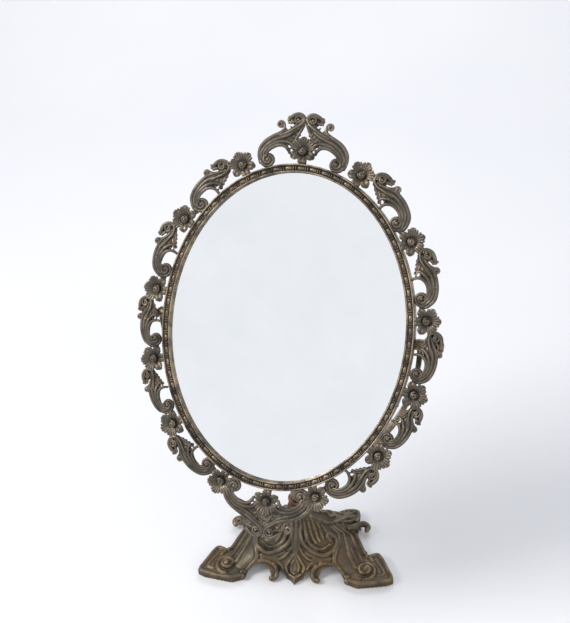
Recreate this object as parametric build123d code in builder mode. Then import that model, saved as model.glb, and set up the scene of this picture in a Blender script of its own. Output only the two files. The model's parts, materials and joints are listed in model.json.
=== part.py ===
from build123d import *
import os
from math import atan2, cos, degrees, hypot, radians, sin

# Tabletop dressing mirror: an oval glass in an openwork brass frame, tilting in a bowed yoke
# that swivels on a four-footed base. Millimetres and degrees. +Z is up, +Y is the back, and
# the origin is on the table under the stem. The mirror stands at its rest swivel and tilt.

# ---- driving dimensions ----
sight_half_width = 100.0    # visible glass, half width
sight_half_height = 127.7   # visible glass, half height
rim_width = 7.3             # rim band from the sight edge to its outer edge
rim_depth = 12.0            # rim from its back face to its front face
rebate_depth = 7.0          # seat for the glass, cut in from the back
glass_thickness = 3.0
card_thickness = 2.5
plate_thickness = 1.5
glass_lap = 2.2             # how far the glass runs under the rim's lip

pivot_height = 256.3        # tilt axis above the table
rest_tilt = 30.7            # top of the mirror leans back
rest_swivel = -10.4         # yoke turned about the stem

arm_thickness = 4.0         # yoke strap, across
yoke_depth = 8.0            # yoke strap, front to back
arm_gap = 2.2               # rim to the yoke's arm, each side
yoke_drop = 145.0           # tilt axis to the inside of the bow
eye_radius = 4.8            # rounded end of each arm
screw_radius = 2.0          # pivot screw's shank
knob_reach = 130.0          # stem centre to the outside of each knob
knob_radius = 4.2
knob_thickness = 4.0

base_neck_height = 52.0     # top of the base casting
frame_shift = 7.5           # swivel axis behind the middle of the whole object
base_crown = 14.0           # metal left above the hollow at the neck
base_neck_radius = 9.5
collar_height = 12.0
stem_radius = 5.5
tie_radius = 3.0            # bolt that ties yoke, stem and base together

flower_radius = 11.2
flower_thickness = 5.0
flower_rise = 9.3           # flower centres outside the rim's outer edge
scroll_thickness = 7.0
wreath_back = 5.4           # wreath castings start this far in front of the tilt axis

# ---- fits and clearances ----
running_fit = 0.06          # pivot screws and the tie bolt in their holes
glass_fit = 0.4             # glass, card and plate in the rebate, all round
solder_gap = 0.1            # between castings that are soldered together
seat_gap = 0.1              # washers and collars to the faces they bear on

# ---- worked out ----
rim_outer_u = sight_half_width + rim_width
rim_outer_v = sight_half_height + rim_width
glass_u = sight_half_width + glass_lap
glass_v = sight_half_height + glass_lap
rebate_u = glass_u + glass_fit
rebate_v = glass_v + glass_fit
arm_inner = rim_outer_u + arm_gap
arm_outer = arm_inner + arm_thickness
boss_end = rim_outer_u + 1.0
boss_start = rebate_u + 0.3
boss_radius = 5.0
flower_u = rim_outer_u + flower_rise
flower_v = rim_outer_v + flower_rise
yoke_bottom = pivot_height - yoke_drop
pivot_point = (0, 0, pivot_height)
pivot_dir = (cos(radians(rest_swivel)), sin(radians(rest_swivel)), 0)


def facing_plane(depth, tilt):
    """A plane square to the front of the mirror or yoke, x to the right and y upwards."""
    normal = Vector(0, -cos(radians(tilt)), sin(radians(tilt))).rotate(Axis.Z, rest_swivel)
    return Plane(origin=Vector(pivot_point) + normal * depth, x_dir=pivot_dir, z_dir=normal)


def mirror_plane(depth):
    """Parallel to the glass, depth in front of the tilt axis."""
    return facing_plane(depth, rest_tilt)


def yoke_plane(depth):
    """Parallel to the upright yoke, depth in front of the tilt axis."""
    return facing_plane(depth, 0)


def pivot_plane(side, reach):
    """Square to the tilt axis on one side, facing outwards, its x axis up the glass."""
    outward = Vector(pivot_dir) * side
    up = mirror_plane(0).y_dir
    return Plane(origin=Vector(pivot_point) + outward * reach, x_dir=up, z_dir=outward)


mirror_symmetry = Plane(origin=pivot_point, x_dir=mirror_plane(0).y_dir, z_dir=pivot_dir)
side_names = {-1: "left", 1: "right"}


def finish(builder, name):
    """Label a finished piece and write it out in the shared frame."""
    piece = builder.part.moved(Location((0, frame_shift, 0)))
    piece.label = name
    export_step(piece, "parts/" + name + ".step")


os.makedirs("parts", exist_ok=True)

# ---- base casting: a concave four-sided pyramid on four scrolled feet, open underneath ----
# each level: height, half width at the front and at the back, reach forwards and backwards
skirt_gap = 1.0             # skirt's lower edge above the table
base_levels = [
    (skirt_gap, 76.0, 56.0, 45.0, 41.0),
    (10.0, 60.0, 46.0, 37.0, 34.0),
    (24.0, 38.0, 30.0, 25.0, 23.0),
    (38.0, 19.0, 16.0, 14.5, 13.5),
]
base_wall = 4.5
hollow_top = base_neck_height - base_crown
hollow_levels = base_levels[:-1] + [(hollow_top, 16.0, 14.0, 14.0, 13.0)]
foot_height = 7.0
front_foot = [(47, -46), (58.6, -51), (86, -46), (92, -42.5), (76, -11), (62, -17), (50, -32)]
back_foot = [(34, 40), (44, 44.5), (53, 45), (57, 43), (58, 28), (46, 24), (36, 30)]
drop_reach = 50.0
drop_half_width = 6.5
# arches in the skirt: centre and half width along the skirt, height
front_arches = [(34.0, 12.0, 11.0), (13.5, 5.5, 6.0)]
back_arches = [(19.0, 12.0, 9.0)]
side_arches = [(8.0, 14.0, 5.0)]


def base_level(front_half, back_half, front_reach, back_reach):
    """One rounded trapezoid of the base, drawn in the open sketch."""
    Polygon(
        (-front_half, -front_reach), (front_half, -front_reach),
        (back_half, back_reach), (-back_half, back_reach),
        align=None,
    )


with BuildPart() as base_casting:
    for height, front_half, back_half, front_reach, back_reach in base_levels:
        with BuildSketch(Plane.XY.offset(height)) as level:
            base_level(front_half, back_half, front_reach, back_reach)
            fillet(level.vertices(), back_reach * 0.35)
    with BuildSketch(Plane.XY.offset(base_neck_height)) as neck_top:
        Rectangle(2 * base_neck_radius, 2 * base_neck_radius)
        fillet(neck_top.vertices(), base_neck_radius * 0.9)
    loft()
    with BuildSketch(Plane.XY):
        for corners in (front_foot, back_foot):
            for side in (-1, 1):
                Polygon(*[(side * x, y) for x, y in corners], align=None)
    extrude(amount=foot_height)
    for height, front_half, back_half, front_reach, back_reach in hollow_levels:
        with BuildSketch(Plane.XY.offset(height)) as level:
            base_level(
                front_half - base_wall, back_half - base_wall,
                front_reach - base_wall, back_reach - base_wall,
            )
            fillet(level.vertices(), (back_reach - base_wall) * 0.35)
    loft(mode=Mode.SUBTRACT)
    with BuildSketch(Plane.XZ):
        for centre, half_width, height in front_arches:
            with Locations((-centre, 0), (centre, 0)):
                Ellipse(half_width, height)
    extrude(amount=drop_reach + 5, mode=Mode.SUBTRACT)
    with BuildSketch(Plane.XZ):
        for centre, half_width, height in back_arches:
            with Locations((-centre, 0), (centre, 0)):
                Ellipse(half_width, height)
    extrude(amount=-(drop_reach + 5), mode=Mode.SUBTRACT)
    with BuildSketch(Plane.YZ):
        for centre, half_width, height in side_arches:
            with Locations((centre, 0)):
                Ellipse(half_width, height)
    extrude(amount=90, both=True, mode=Mode.SUBTRACT)
    with BuildSketch(Plane.XY):
        Polygon(
            (-drop_half_width, 8 - drop_reach), (0, -drop_reach),
            (drop_half_width, 8 - drop_reach),
            align=None,
        )
    extrude(amount=foot_height)
    with BuildSketch(Plane.XY.offset(base_neck_height)):
        Circle(tie_radius + running_fit)
    extrude(amount=-base_neck_height, mode=Mode.SUBTRACT)
finish(base_casting, "base_casting")

# ---- stem: tie bolt from inside the base, washer, collar, tube and the yoke's boss ----
washer_thickness = 1.2
bolt_head_height = 4.0
boss_height = 12.0
collar_top = base_neck_height + seat_gap + collar_height
tube_top = yoke_bottom - arm_thickness - boss_height + 2
washer_top = hollow_top - seat_gap
bolt_top = yoke_bottom - arm_thickness - 2

with BuildPart() as tie_washer:
    with BuildSketch(Plane.XY.offset(washer_top)):
        Circle(tie_radius + 3.5)
        Circle(tie_radius + running_fit, mode=Mode.SUBTRACT)
    extrude(amount=-washer_thickness)
finish(tie_washer, "tie_washer")

with BuildPart() as tie_bolt:
    with BuildSketch(Plane.XY.offset(washer_top - washer_thickness - seat_gap)):
        RegularPolygon(tie_radius + 2.4, 6)
    extrude(amount=-bolt_head_height)
    with BuildSketch(Plane.XY.offset(washer_top - washer_thickness - seat_gap)):
        Circle(tie_radius)
    extrude(amount=bolt_top - washer_top + washer_thickness + seat_gap)
    chamfer(tie_bolt.faces().sort_by(Axis.Z)[-1].edges(), 0.6)
finish(tie_bolt, "tie_bolt")

with BuildPart() as stem_collar:
    with BuildSketch(Plane.XZ):
        with BuildLine():
            bore = tie_radius + running_fit
            low = base_neck_height + seat_gap
            Polyline((bore, low), (8.4, low), (9.2, low + 1.6), (8.4, low + 3.2))
            ThreePointArc((8.4, low + 3.2), (6.6, low + 6.2), (8.0, low + 9.4))
            Polyline((8.0, low + 9.4), (8.0, collar_top), (bore, collar_top), (bore, low))
        make_face()
    revolve(axis=Axis.Z)
finish(stem_collar, "stem_collar")

with BuildPart() as stem_tube:
    with BuildSketch(Plane.XY.offset(collar_top + seat_gap)):
        Circle(stem_radius)
        Circle(tie_radius + running_fit, mode=Mode.SUBTRACT)
    extrude(amount=tube_top - collar_top - 2 * seat_gap)
finish(stem_tube, "stem_tube")

# ---- yoke: a bowed strap that follows the rim's outline, with an eye on each arm ----
with BuildPart() as yoke:
    with BuildSketch(yoke_plane(-yoke_depth / 2)):
        Ellipse(arm_outer, yoke_drop + arm_thickness)
        Ellipse(arm_inner, yoke_drop, mode=Mode.SUBTRACT)
        with Locations((0, yoke_drop)):
            Rectangle(3 * arm_outer, 2 * yoke_drop, mode=Mode.SUBTRACT)
    extrude(amount=yoke_depth)
    for side in (-1, 1):
        with BuildSketch(pivot_plane(side, arm_inner)):
            Circle(eye_radius)
        extrude(amount=arm_thickness)
    with BuildSketch(Plane.XY.offset(tube_top)):
        Circle(stem_radius + 1.5)
    extrude(amount=boss_height)
    for side in (-1, 1):
        with BuildSketch(pivot_plane(side, arm_inner - 1)):
            Circle(screw_radius + running_fit)
        extrude(amount=arm_thickness + 2, mode=Mode.SUBTRACT)
    with BuildSketch(Plane.XY.offset(tube_top)):
        Circle(tie_radius + running_fit)
    extrude(amount=bolt_top - tube_top + 0.5, mode=Mode.SUBTRACT)
finish(yoke, "yoke")

# ---- rim: the oval band, its lip over the glass, its groove and the two pivot bosses ----
bead_line = rim_width * 0.5
clip_angles = [22.5 + 45 * step for step in range(8)]
clip_inset = (rim_outer_u - rebate_u) / 2


def on_oval(half_u, half_v, angle):
    """Point on an oval at a parametric angle, with the outward direction there in degrees."""
    u = half_u * cos(radians(angle))
    v = half_v * sin(radians(angle))
    outward = degrees(atan2(half_u * sin(radians(angle)), half_v * cos(radians(angle))))
    return u, v, outward


with BuildPart() as frame_rim:
    with BuildSketch(mirror_plane(0)):
        Ellipse(rim_outer_u, rim_outer_v)
        Ellipse(rebate_u, rebate_v, mode=Mode.SUBTRACT)
    extrude(amount=rebate_depth)
    with BuildSketch(mirror_plane(rebate_depth)):
        Ellipse(rim_outer_u, rim_outer_v)
        Ellipse(sight_half_width, sight_half_height, mode=Mode.SUBTRACT)
    extrude(amount=rim_depth - rebate_depth)
    with BuildSketch(mirror_plane(rim_depth - 1)):
        Ellipse(sight_half_width + bead_line + 2, sight_half_height + bead_line + 2)
        Ellipse(
            sight_half_width + bead_line - 2, sight_half_height + bead_line - 2,
            mode=Mode.SUBTRACT,
        )
    extrude(amount=2, mode=Mode.SUBTRACT)
    for side in (-1, 1):
        with BuildSketch(pivot_plane(side, boss_start)):
            Circle(boss_radius)
        extrude(amount=boss_end - boss_start)
        with BuildSketch(pivot_plane(side, boss_start - 1)):
            Circle(screw_radius + running_fit)
        extrude(amount=boss_end - boss_start + 2, mode=Mode.SUBTRACT)
    with BuildSketch(mirror_plane(-0.5)):
        for angle in clip_angles:
            u, v, _ = on_oval(rim_outer_u - clip_inset, rim_outer_v - clip_inset, angle)
            with Locations((u, v)):
                Circle(1.25)
    extrude(amount=3.5, mode=Mode.SUBTRACT)
finish(frame_rim, "frame_rim")

# ---- glass, backing card, back plate, and the clips and screws that hold them ----
plate_front = plate_thickness
card_front = plate_front + card_thickness


def oval_sheet(back, thickness, label):
    """A flat oval that drops into the rebate."""
    with BuildPart() as sheet:
        with BuildSketch(mirror_plane(back)):
            Ellipse(glass_u, glass_v)
        extrude(amount=thickness)
    finish(sheet, label)


oval_sheet(card_front, glass_thickness, "mirror_glass")
oval_sheet(plate_front, card_thickness, "backing_card")
oval_sheet(0, plate_thickness, "back_plate")

clip_thickness = 1.0
with BuildPart() as retaining_clips:
    with BuildSketch(mirror_plane(-clip_thickness - 0.02)):
        for angle in clip_angles:
            u, v, outward = on_oval(rim_outer_u - clip_inset, rim_outer_v - clip_inset, angle)
            with Locations(Location((u, v), outward)):
                with Locations((-3.6, 0)):
                    SlotOverall(12.5, 6)
            with Locations((u, v)):
                Circle(1.3, mode=Mode.SUBTRACT)
    extrude(amount=clip_thickness)
finish(retaining_clips, "retaining_clips")

with BuildPart() as clip_screws:
    with BuildSketch(mirror_plane(-clip_thickness - 0.04)):
        for angle in clip_angles:
            u, v, _ = on_oval(rim_outer_u - clip_inset, rim_outer_v - clip_inset, angle)
            with Locations((u, v)):
                Circle(2.3)
    extrude(amount=-1.3)
    with BuildSketch(mirror_plane(-clip_thickness - 0.04)):
        for angle in clip_angles:
            u, v, _ = on_oval(rim_outer_u - clip_inset, rim_outer_v - clip_inset, angle)
            with Locations((u, v)):
                Circle(1.2)
    extrude(amount=clip_thickness + 2.9)
finish(clip_screws, "clip_screws")

# ---- pivot screws with their knobs, and the washers between boss and arm ----
for side in (-1, 1):
    with BuildPart() as pivot_screw:
        with BuildSketch(pivot_plane(side, boss_start + 0.5)):
            Circle(screw_radius)
        extrude(amount=arm_outer - boss_start)
        with BuildSketch(pivot_plane(side, arm_outer + seat_gap)):
            Circle(screw_radius + 1.6)
        extrude(amount=2)
        with BuildSketch(pivot_plane(side, arm_outer + seat_gap)):
            Circle(screw_radius)
        extrude(amount=knob_reach - arm_outer - 1)
        with BuildSketch(pivot_plane(side, knob_reach - knob_thickness)):
            Circle(knob_radius)
        extrude(amount=knob_thickness)
        knob_rims = pivot_screw.edges().filter_by(GeomType.CIRCLE).group_by(SortBy.RADIUS)[-1]
        chamfer(knob_rims, 0.8)
    finish(pivot_screw, "pivot_screw_" + side_names[side])

    with BuildPart() as pivot_washer:
        with BuildSketch(pivot_plane(side, boss_end + seat_gap)):
            Circle(eye_radius - 0.3)
            Circle(screw_radius + running_fit, mode=Mode.SUBTRACT)
        extrude(amount=arm_inner - boss_end - 2 * seat_gap)
    finish(pivot_washer, "pivot_washer_" + side_names[side])

# ---- wreath: flowers and acanthus scrolls in turn, soldered to the rim ----
# parametric angles of the flower centres down the right side of the wreath's oval
flower_angles = [64.4, 34.2, 7.9, -16.0, -40.1, -69.2]
petal_count = 6


def flower_centre(angle):
    return flower_u * cos(radians(angle)), flower_v * sin(radians(angle))


def make_flower(centre, spin, label):
    """Six rounded petals round a raised bud, trimmed to the rim."""
    with BuildPart() as flower:
        with BuildSketch(mirror_plane(wreath_back + 1)):
            with Locations(Location(centre, spin)):
                Circle(flower_radius * 0.55)
                with PolarLocations(flower_radius * 0.6, petal_count):
                    Circle(flower_radius * 0.4)
            Ellipse(rim_outer_u + solder_gap, rim_outer_v + solder_gap, mode=Mode.SUBTRACT)
        extrude(amount=flower_thickness)
        with BuildSketch(mirror_plane(wreath_back + 1 + flower_thickness)):
            with Locations(centre):
                Circle(flower_radius * 0.3)
        extrude(amount=2.5, taper=15)
    finish(flower, label)


crest_flower_v = rim_outer_v + 10.5
for side in (-1, 1):
    for number, angle in enumerate(flower_angles, start=1):
        u, v = flower_centre(angle)
        make_flower((side * u, v), 90 * side, f"flower_{side_names[side]}_{number}")

make_flower((0, crest_flower_v), 90, "flower_top")
make_flower((0, -crest_flower_v), -90, "flower_bottom")

# ---- scrolls: drawn lying along the rim, the volute at one end and the head at the other ----
scroll_span = 65.0          # flower to flower, at the size the outline below is drawn
volute_centre = (-14.0, -0.8)
volute_radius = 7.2
head_centre = (19.3, 9.5)
head_radius = 5.4
curl_centre = (5.5, 15.2)
curl_radius = 3.6
back_curve = [(-21.1, 0), (-19.5, 6.5), (-12, 12), (-2, 14), (8, 14), (15.5, 13)]
belly_curve = [(24, 7), (17.5, 1.6), (8, -1.6), (1.5, -6.2)]
throat_middle = (-3, 3.5)
throat_end = (-9, 2)
head_tip = [(15, 8), (21, 13), (14.5, 18.5), (11.8, 14.5)]

# ---- crest scrolls: a taller casting, drawn upright about the centre of its volute ----
crest_angle = 104.8         # parametric angle of the left crest's volute
crest_seat = 6.0            # volute centre outside the rim
crest_reach = 29.0          # volute centre to the middle of the crest, as drawn
crest_back = [(-7.4, 0.5), (-8, 8), (-3.5, 15), (3, 20.5), (10, 24.5), (17, 29)]
crest_belly = [(28.7, 30), (25.5, 23.5), (22, 17), (18.3, 7)]
crest_throat_middle = (9, 13.2)
crest_throat_end = (1.5, 9)
crest_head_centre = (22.7, 33.8)
crest_head_radius = 6.2
crest_curl_centre = (8.9, 26.6)
crest_tip = [(19, 38.2), (14.5, 35.2), (15, 30.7), (21, 29)]


def crest_outline(size):
    """Flat outline of the top left crest scroll about its volute."""
    with BuildSketch() as outline:
        with BuildLine():
            Spline(*crest_back)
            Line(crest_back[-1], crest_belly[0])
            Spline(*crest_belly)
            ThreePointArc(crest_belly[-1], crest_throat_middle, crest_throat_end)
            Line(crest_throat_end, crest_back[0])
        make_face()
        Circle(volute_radius)
        with Locations(crest_head_centre):
            Circle(crest_head_radius)
        with Locations(crest_curl_centre):
            Circle(curl_radius)
        Polygon(*crest_tip, align=None)
    return scale(outline.sketch, by=size)


def scroll_outline(size):
    """Flat outline of one scroll, its x axis along the rim towards the upper flower."""
    with BuildSketch() as outline:
        with BuildLine():
            Spline(*back_curve)
            Line(back_curve[-1], belly_curve[0])
            Spline(*belly_curve)
            ThreePointArc(belly_curve[-1], throat_middle, throat_end)
            Line(throat_end, back_curve[0])
        make_face()
        with Locations(volute_centre):
            Circle(volute_radius)
        with Locations(head_centre):
            Circle(head_radius)
        with Locations(curl_centre):
            Circle(curl_radius)
        Polygon(*head_tip, align=None)
    return scale(outline.sketch, by=size)


def make_scrolls(outline, where, heading, flowers, names):
    """A scroll, trimmed to the rim, its flowers and the centre line, and its mirror image."""
    side_of_centre = 1 if where[0] > 0 else -1
    with BuildPart() as scroll:
        with BuildSketch(mirror_plane(wreath_back)):
            with Locations(Location(where, heading)):
                add(outline)
        extrude(amount=scroll_thickness)
        with BuildSketch(mirror_plane(wreath_back - 1)):
            Ellipse(rim_outer_u + solder_gap, rim_outer_v + solder_gap)
            for centre in flowers:
                with Locations(centre):
                    Circle(flower_radius + solder_gap)
        extrude(amount=rim_depth, mode=Mode.SUBTRACT)
        with BuildSketch(mirror_plane(wreath_back - 1)):
            with Locations((-side_of_centre * (50 - solder_gap / 2), 0)):
                Rectangle(100, 3 * rim_outer_v)
        extrude(amount=rim_depth, mode=Mode.SUBTRACT)
    with BuildPart() as mirror_image:
        mirror(scroll.part, about=mirror_symmetry)
    finish(scroll, names[0])
    finish(mirror_image, names[1])


for number in range(1, len(flower_angles)):
    upper_u, upper_v = flower_centre(flower_angles[number - 1])
    lower_u, lower_v = flower_centre(flower_angles[number])
    upper = (-upper_u, upper_v)
    lower = (-lower_u, lower_v)
    middle = ((upper[0] + lower[0]) / 2, (upper[1] + lower[1]) / 2)
    along = (upper[0] - lower[0], upper[1] - lower[1])
    make_scrolls(
        scroll_outline(hypot(*along) / scroll_span),
        middle, degrees(atan2(along[1], along[0])),
        [upper, lower], [f"scroll_left_{number}", f"scroll_right_{number}"],
    )

# the bottom crest is the top one turned half round
crest_u = (rim_outer_u + crest_seat) * cos(radians(crest_angle))
crest_v = (rim_outer_v + crest_seat) * sin(radians(crest_angle))
crest_size = -crest_u / crest_reach
top_u, top_v = flower_centre(flower_angles[0])
low_u, low_v = flower_centre(flower_angles[-1])
make_scrolls(
    crest_outline(crest_size), (crest_u, crest_v), 0,
    [(-top_u, top_v), (0, crest_flower_v)], ["crest_top_left", "crest_top_right"],
)
make_scrolls(
    crest_outline(crest_size), (-crest_u, -crest_v), 180,
    [(low_u, low_v), (0, -crest_flower_v)], ["crest_bottom_right", "crest_bottom_left"],
)
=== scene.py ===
import json
from math import cos, pi, radians, sin

import bmesh
import bpy
import numpy as np
from mathutils import Matrix, Vector
from mathutils.bvhtree import BVHTree


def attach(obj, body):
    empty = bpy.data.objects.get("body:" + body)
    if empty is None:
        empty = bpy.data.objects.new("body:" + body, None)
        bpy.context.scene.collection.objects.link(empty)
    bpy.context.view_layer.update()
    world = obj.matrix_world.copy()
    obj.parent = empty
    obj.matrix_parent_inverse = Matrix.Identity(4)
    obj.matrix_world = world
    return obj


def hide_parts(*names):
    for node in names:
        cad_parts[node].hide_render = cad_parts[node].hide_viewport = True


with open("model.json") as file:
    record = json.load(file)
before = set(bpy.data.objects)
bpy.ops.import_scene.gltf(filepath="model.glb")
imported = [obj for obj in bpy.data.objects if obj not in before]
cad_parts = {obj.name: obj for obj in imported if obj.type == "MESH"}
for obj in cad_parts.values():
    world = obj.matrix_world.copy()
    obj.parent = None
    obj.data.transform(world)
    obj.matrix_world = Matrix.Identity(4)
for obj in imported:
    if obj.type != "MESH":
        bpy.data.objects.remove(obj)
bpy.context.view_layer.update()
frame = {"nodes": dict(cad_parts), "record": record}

# Tabletop dressing mirror in antique brass. Lengths below are in millimetres until a piece
# is placed, and each cast ornament is built from tapered strokes fused into one skin.

MM = 0.001

# ---- places taken from the frame ----
joints = {joint["name"]: joint for joint in frame["record"]["behaviour"]["joints"]}
tilt_joint = joints["mirror_tilt"]
pivot = Vector(tilt_joint["pos_m"])
STAND = Vector((*joints["yoke_swivel"]["pos_m"][:2], 0))   # swivel axis at table height
REST_TILT = radians(30.7)
REST_SWIVEL = radians(-10.4)
SIDES = (("left", -1), ("right", 1))

# ---- sizes the looks need, as in the construction ----
SIGHT = (100.0, 127.7)
RIM = (107.3, 135.0)
RIM_FRONT = 12.0
GLASS_FRONT = 7.0
WREATH_BACK = 5.4
FLOWER_OVAL = (116.6, 144.3)
CREST_FLOWER_V = 145.5
FLOWER_ANGLES = (64.4, 34.2, 7.9, -16.0, -40.1, -69.2)
SCROLL_SPAN = 65.0
FLOWER_RADIUS = 11.2


def mirror_space():
    """Matrix from mirror coordinates (across, up the glass, towards the viewer) in mm."""
    swivel = Matrix.Rotation(REST_SWIVEL, 4, "Z")
    lean = Matrix.Rotation(-REST_TILT, 4, "X")
    stand = Matrix(((1, 0, 0, 0), (0, 0, -1, 0), (0, 1, 0, 0), (0, 0, 0, 1)))
    return Matrix.Translation(pivot) @ swivel @ lean @ stand @ Matrix.Scale(MM, 4)


MIRROR = mirror_space()
TABLE = Matrix.Translation(STAND) @ Matrix.Scale(MM, 4)


# ---------------------------------------------------------------- strokes
def smooth_path(rows, steps):
    """Catmull-Rom curve through rows of any width, steps samples per span."""
    rows = np.asarray(rows, float)
    ends = np.vstack((2 * rows[0] - rows[1], rows, 2 * rows[-1] - rows[-2]))
    samples = []
    for index in range(len(rows) - 1):
        a, b, c, d = ends[index:index + 4]
        for step in range(steps):
            t = step / steps
            samples.append(0.5 * (
                2 * b + (c - a) * t + (2 * a - 5 * b + 4 * c - d) * t * t
                + (3 * b - 3 * c + d - a) * t ** 3
            ))
    samples.append(rows[-1])
    return np.array(samples)


def spiral(centre, start, turns, outer, inner, height, thick, thin, rise=0.0):
    """Rows (x, y, z, radius) of a volute that winds inwards from a start angle in degrees."""
    count = max(8, int(abs(turns) * 16))
    share = np.linspace(0, 1, count)
    angle = np.radians(start) + 2 * pi * turns * share
    reach = outer + (inner - outer) * share ** 0.8
    return np.column_stack((
        centre[0] + reach * np.cos(angle),
        centre[1] + reach * np.sin(angle),
        height + rise * share,
        thick + (thin - thick) * share,
    ))


class Casting:
    """Collects closed strokes and fuses them into one cast skin."""

    def __init__(self):
        self.points = []
        self.faces = []
        self.count = 0

    def add(self, points, faces):
        self.points.append(points)
        self.faces.extend([tuple(index + self.count for index in face) for face in faces])
        self.count += len(points)

    def stroke(self, rows, flat=1.0, steps=6, ring=10, up=None):
        """A round-ended bar along rows (x, y, z, radius); flat squashes it along up."""
        path = smooth_path(rows, steps) if steps else np.asarray(rows, float)
        centres, radii = path[:, :3], np.maximum(path[:, 3], 0.05)
        tangents = np.gradient(centres, axis=0)
        tangents /= np.linalg.norm(tangents, axis=1)[:, None] + 1e-9
        if up is None:
            ups = np.tile(np.array((0.0, 0.0, 1.0)), (len(path), 1))
        else:
            ups = np.asarray([up(x, y) for x, y in centres[:, :2]], float)
        sides = np.cross(tangents, ups)
        sides /= np.linalg.norm(sides, axis=1)[:, None] + 1e-9
        tops = np.cross(sides, tangents)
        first, last = centres[0], centres[-1]
        caps = ((1.0, 0.0), (0.75, 0.66), (0.4, 0.92))
        rings = []
        for scale, ahead in reversed(caps):
            rings.append((first - tangents[0] * radii[0] * ahead, radii[0] * scale, 0))
        rings += [(centres[i], radii[i], i) for i in range(1, len(path) - 1)]
        for scale, ahead in caps:
            rings.append((last + tangents[-1] * radii[-1] * ahead, radii[-1] * scale, -1))
        angles = np.linspace(0, 2 * pi, ring, endpoint=False)
        points = []
        for centre, radius, index in rings:
            points.append(
                centre + radius * (np.cos(angles)[:, None] * sides[index]
                                   + flat * np.sin(angles)[:, None] * tops[index])
            )
        points = np.vstack(points)
        faces = [tuple(reversed(range(ring)))]
        for level in range(len(rings) - 1):
            low, high = level * ring, (level + 1) * ring
            for k in range(ring):
                n = (k + 1) % ring
                faces.append((low + k, low + n, high + n, high + k))
        faces.append(tuple(range((len(rings) - 1) * ring, len(rings) * ring)))
        self.add(points, faces)

    def ball(self, centre, radii, rings=9, segments=16):
        """A closed ellipsoid."""
        rows = []
        for level in range(rings + 1):
            lift = -cos(pi * level / rings)
            rows.append((centre[0], centre[1], centre[2] + lift * radii[2],
                         max(sin(pi * level / rings), 0.02)))
        points, faces = [], []
        for x, y, z, share in rows:
            for k in range(segments):
                turn = 2 * pi * k / segments
                points.append((x + radii[0] * share * cos(turn),
                               y + radii[1] * share * sin(turn), z))
        faces.append(tuple(reversed(range(segments))))
        for level in range(rings):
            low, high = level * segments, (level + 1) * segments
            for k in range(segments):
                n = (k + 1) % segments
                faces.append((low + k, low + n, high + n, high + k))
        faces.append(tuple(range(rings * segments, (rings + 1) * segments)))
        self.add(np.array(points), faces)

    def plate(self, outline, low, high, bevel=0.6):
        """A flat plate of a closed outline, its upper edge eased."""
        outline = np.asarray(outline, float)
        middle = outline.mean(axis=0)
        reach = np.linalg.norm(outline - middle, axis=1)[:, None]
        inset = middle + (outline - middle) * (1 - bevel / reach)
        count = len(outline)
        points = np.vstack((
            np.column_stack((outline, np.full(count, low))),
            np.column_stack((outline, np.full(count, high - bevel))),
            np.column_stack((inset, np.full(count, high))),
        ))
        faces = [tuple(reversed(range(count)))]
        for level in range(2):
            for k in range(count):
                n = (k + 1) % count
                faces.append((level * count + k, level * count + n,
                              (level + 1) * count + n, (level + 1) * count + k))
        faces.append(tuple(range(2 * count, 3 * count)))
        self.add(points, faces)

    def fuse(self, name, voxel, relax=2):
        """One skin over everything added, with the softness of a casting, as a mesh."""
        mesh = bpy.data.meshes.new(name)
        mesh.from_pydata([tuple(p) for p in np.vstack(self.points)], [], self.faces)
        mesh.update()
        body = bpy.data.objects.new(name, mesh)
        bpy.context.collection.objects.link(body)
        skin = body.modifiers.new("skin", "REMESH")
        skin.mode = "VOXEL"
        skin.voxel_size = voxel
        skin.use_smooth_shade = True
        if relax:
            ease = body.modifiers.new("ease", "SMOOTH")
            ease.factor = 0.5
            ease.iterations = relax
        depsgraph = bpy.context.evaluated_depsgraph_get()
        fused = bpy.data.meshes.new_from_object(body.evaluated_get(depsgraph))
        bpy.data.objects.remove(body)
        return fused


def place(mesh, name, matrix, body, replaced=(), material=None):
    """Put a copy of a mesh in the scene as a named piece that rides on a body."""
    copy = mesh.copy()
    copy.transform(matrix)
    if matrix.determinant() < 0:
        copy.flip_normals()
    copy.name = name
    for face in copy.polygons:
        face.use_smooth = True
    piece = bpy.data.objects.new(name, copy)
    bpy.context.collection.objects.link(piece)
    piece.data.materials.clear()
    piece.data.materials.append(material or BRASS)
    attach(piece, body)
    if replaced:
        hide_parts(*replaced)
    return piece


# ---------------------------------------------------------------- materials
def new_material(name):
    material = bpy.data.materials.new(name)
    material.use_nodes = True
    return material, material.node_tree.nodes, material.node_tree.links


def set_ramp(ramp, stops):
    """Give a colour ramp its stops, (position, colour)."""
    elements = ramp.color_ramp.elements
    while len(elements) > 1:
        elements.remove(elements[-1])
    elements[0].position, elements[0].color = stops[0][0], (*stops[0][1], 1)
    for position, colour in stops[1:]:
        elements.new(position).color = (*colour, 1)


def add_noise(nodes, links, coords, scale, detail=4.0, rough=0.55):
    noise = nodes.new("ShaderNodeTexNoise")
    noise.inputs["Scale"].default_value = scale
    noise.inputs["Detail"].default_value = detail
    noise.inputs["Roughness"].default_value = rough
    links.new(coords, noise.inputs["Vector"])
    return noise.outputs["Fac"]


def blend_colours(nodes, links, amount, low, high, mode="MIX"):
    """Mix two colour outputs or values by a float output or value."""
    mix = nodes.new("ShaderNodeMix")
    mix.data_type = "RGBA"
    mix.blend_type = mode
    for socket, value in ((mix.inputs[0], amount), (mix.inputs[6], low), (mix.inputs[7], high)):
        if hasattr(value, "is_linked"):
            links.new(value, socket)
        elif isinstance(value, (int, float)):
            socket.default_value = value
        else:
            socket.default_value = (*value, 1)
    return mix.outputs[2]


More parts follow.
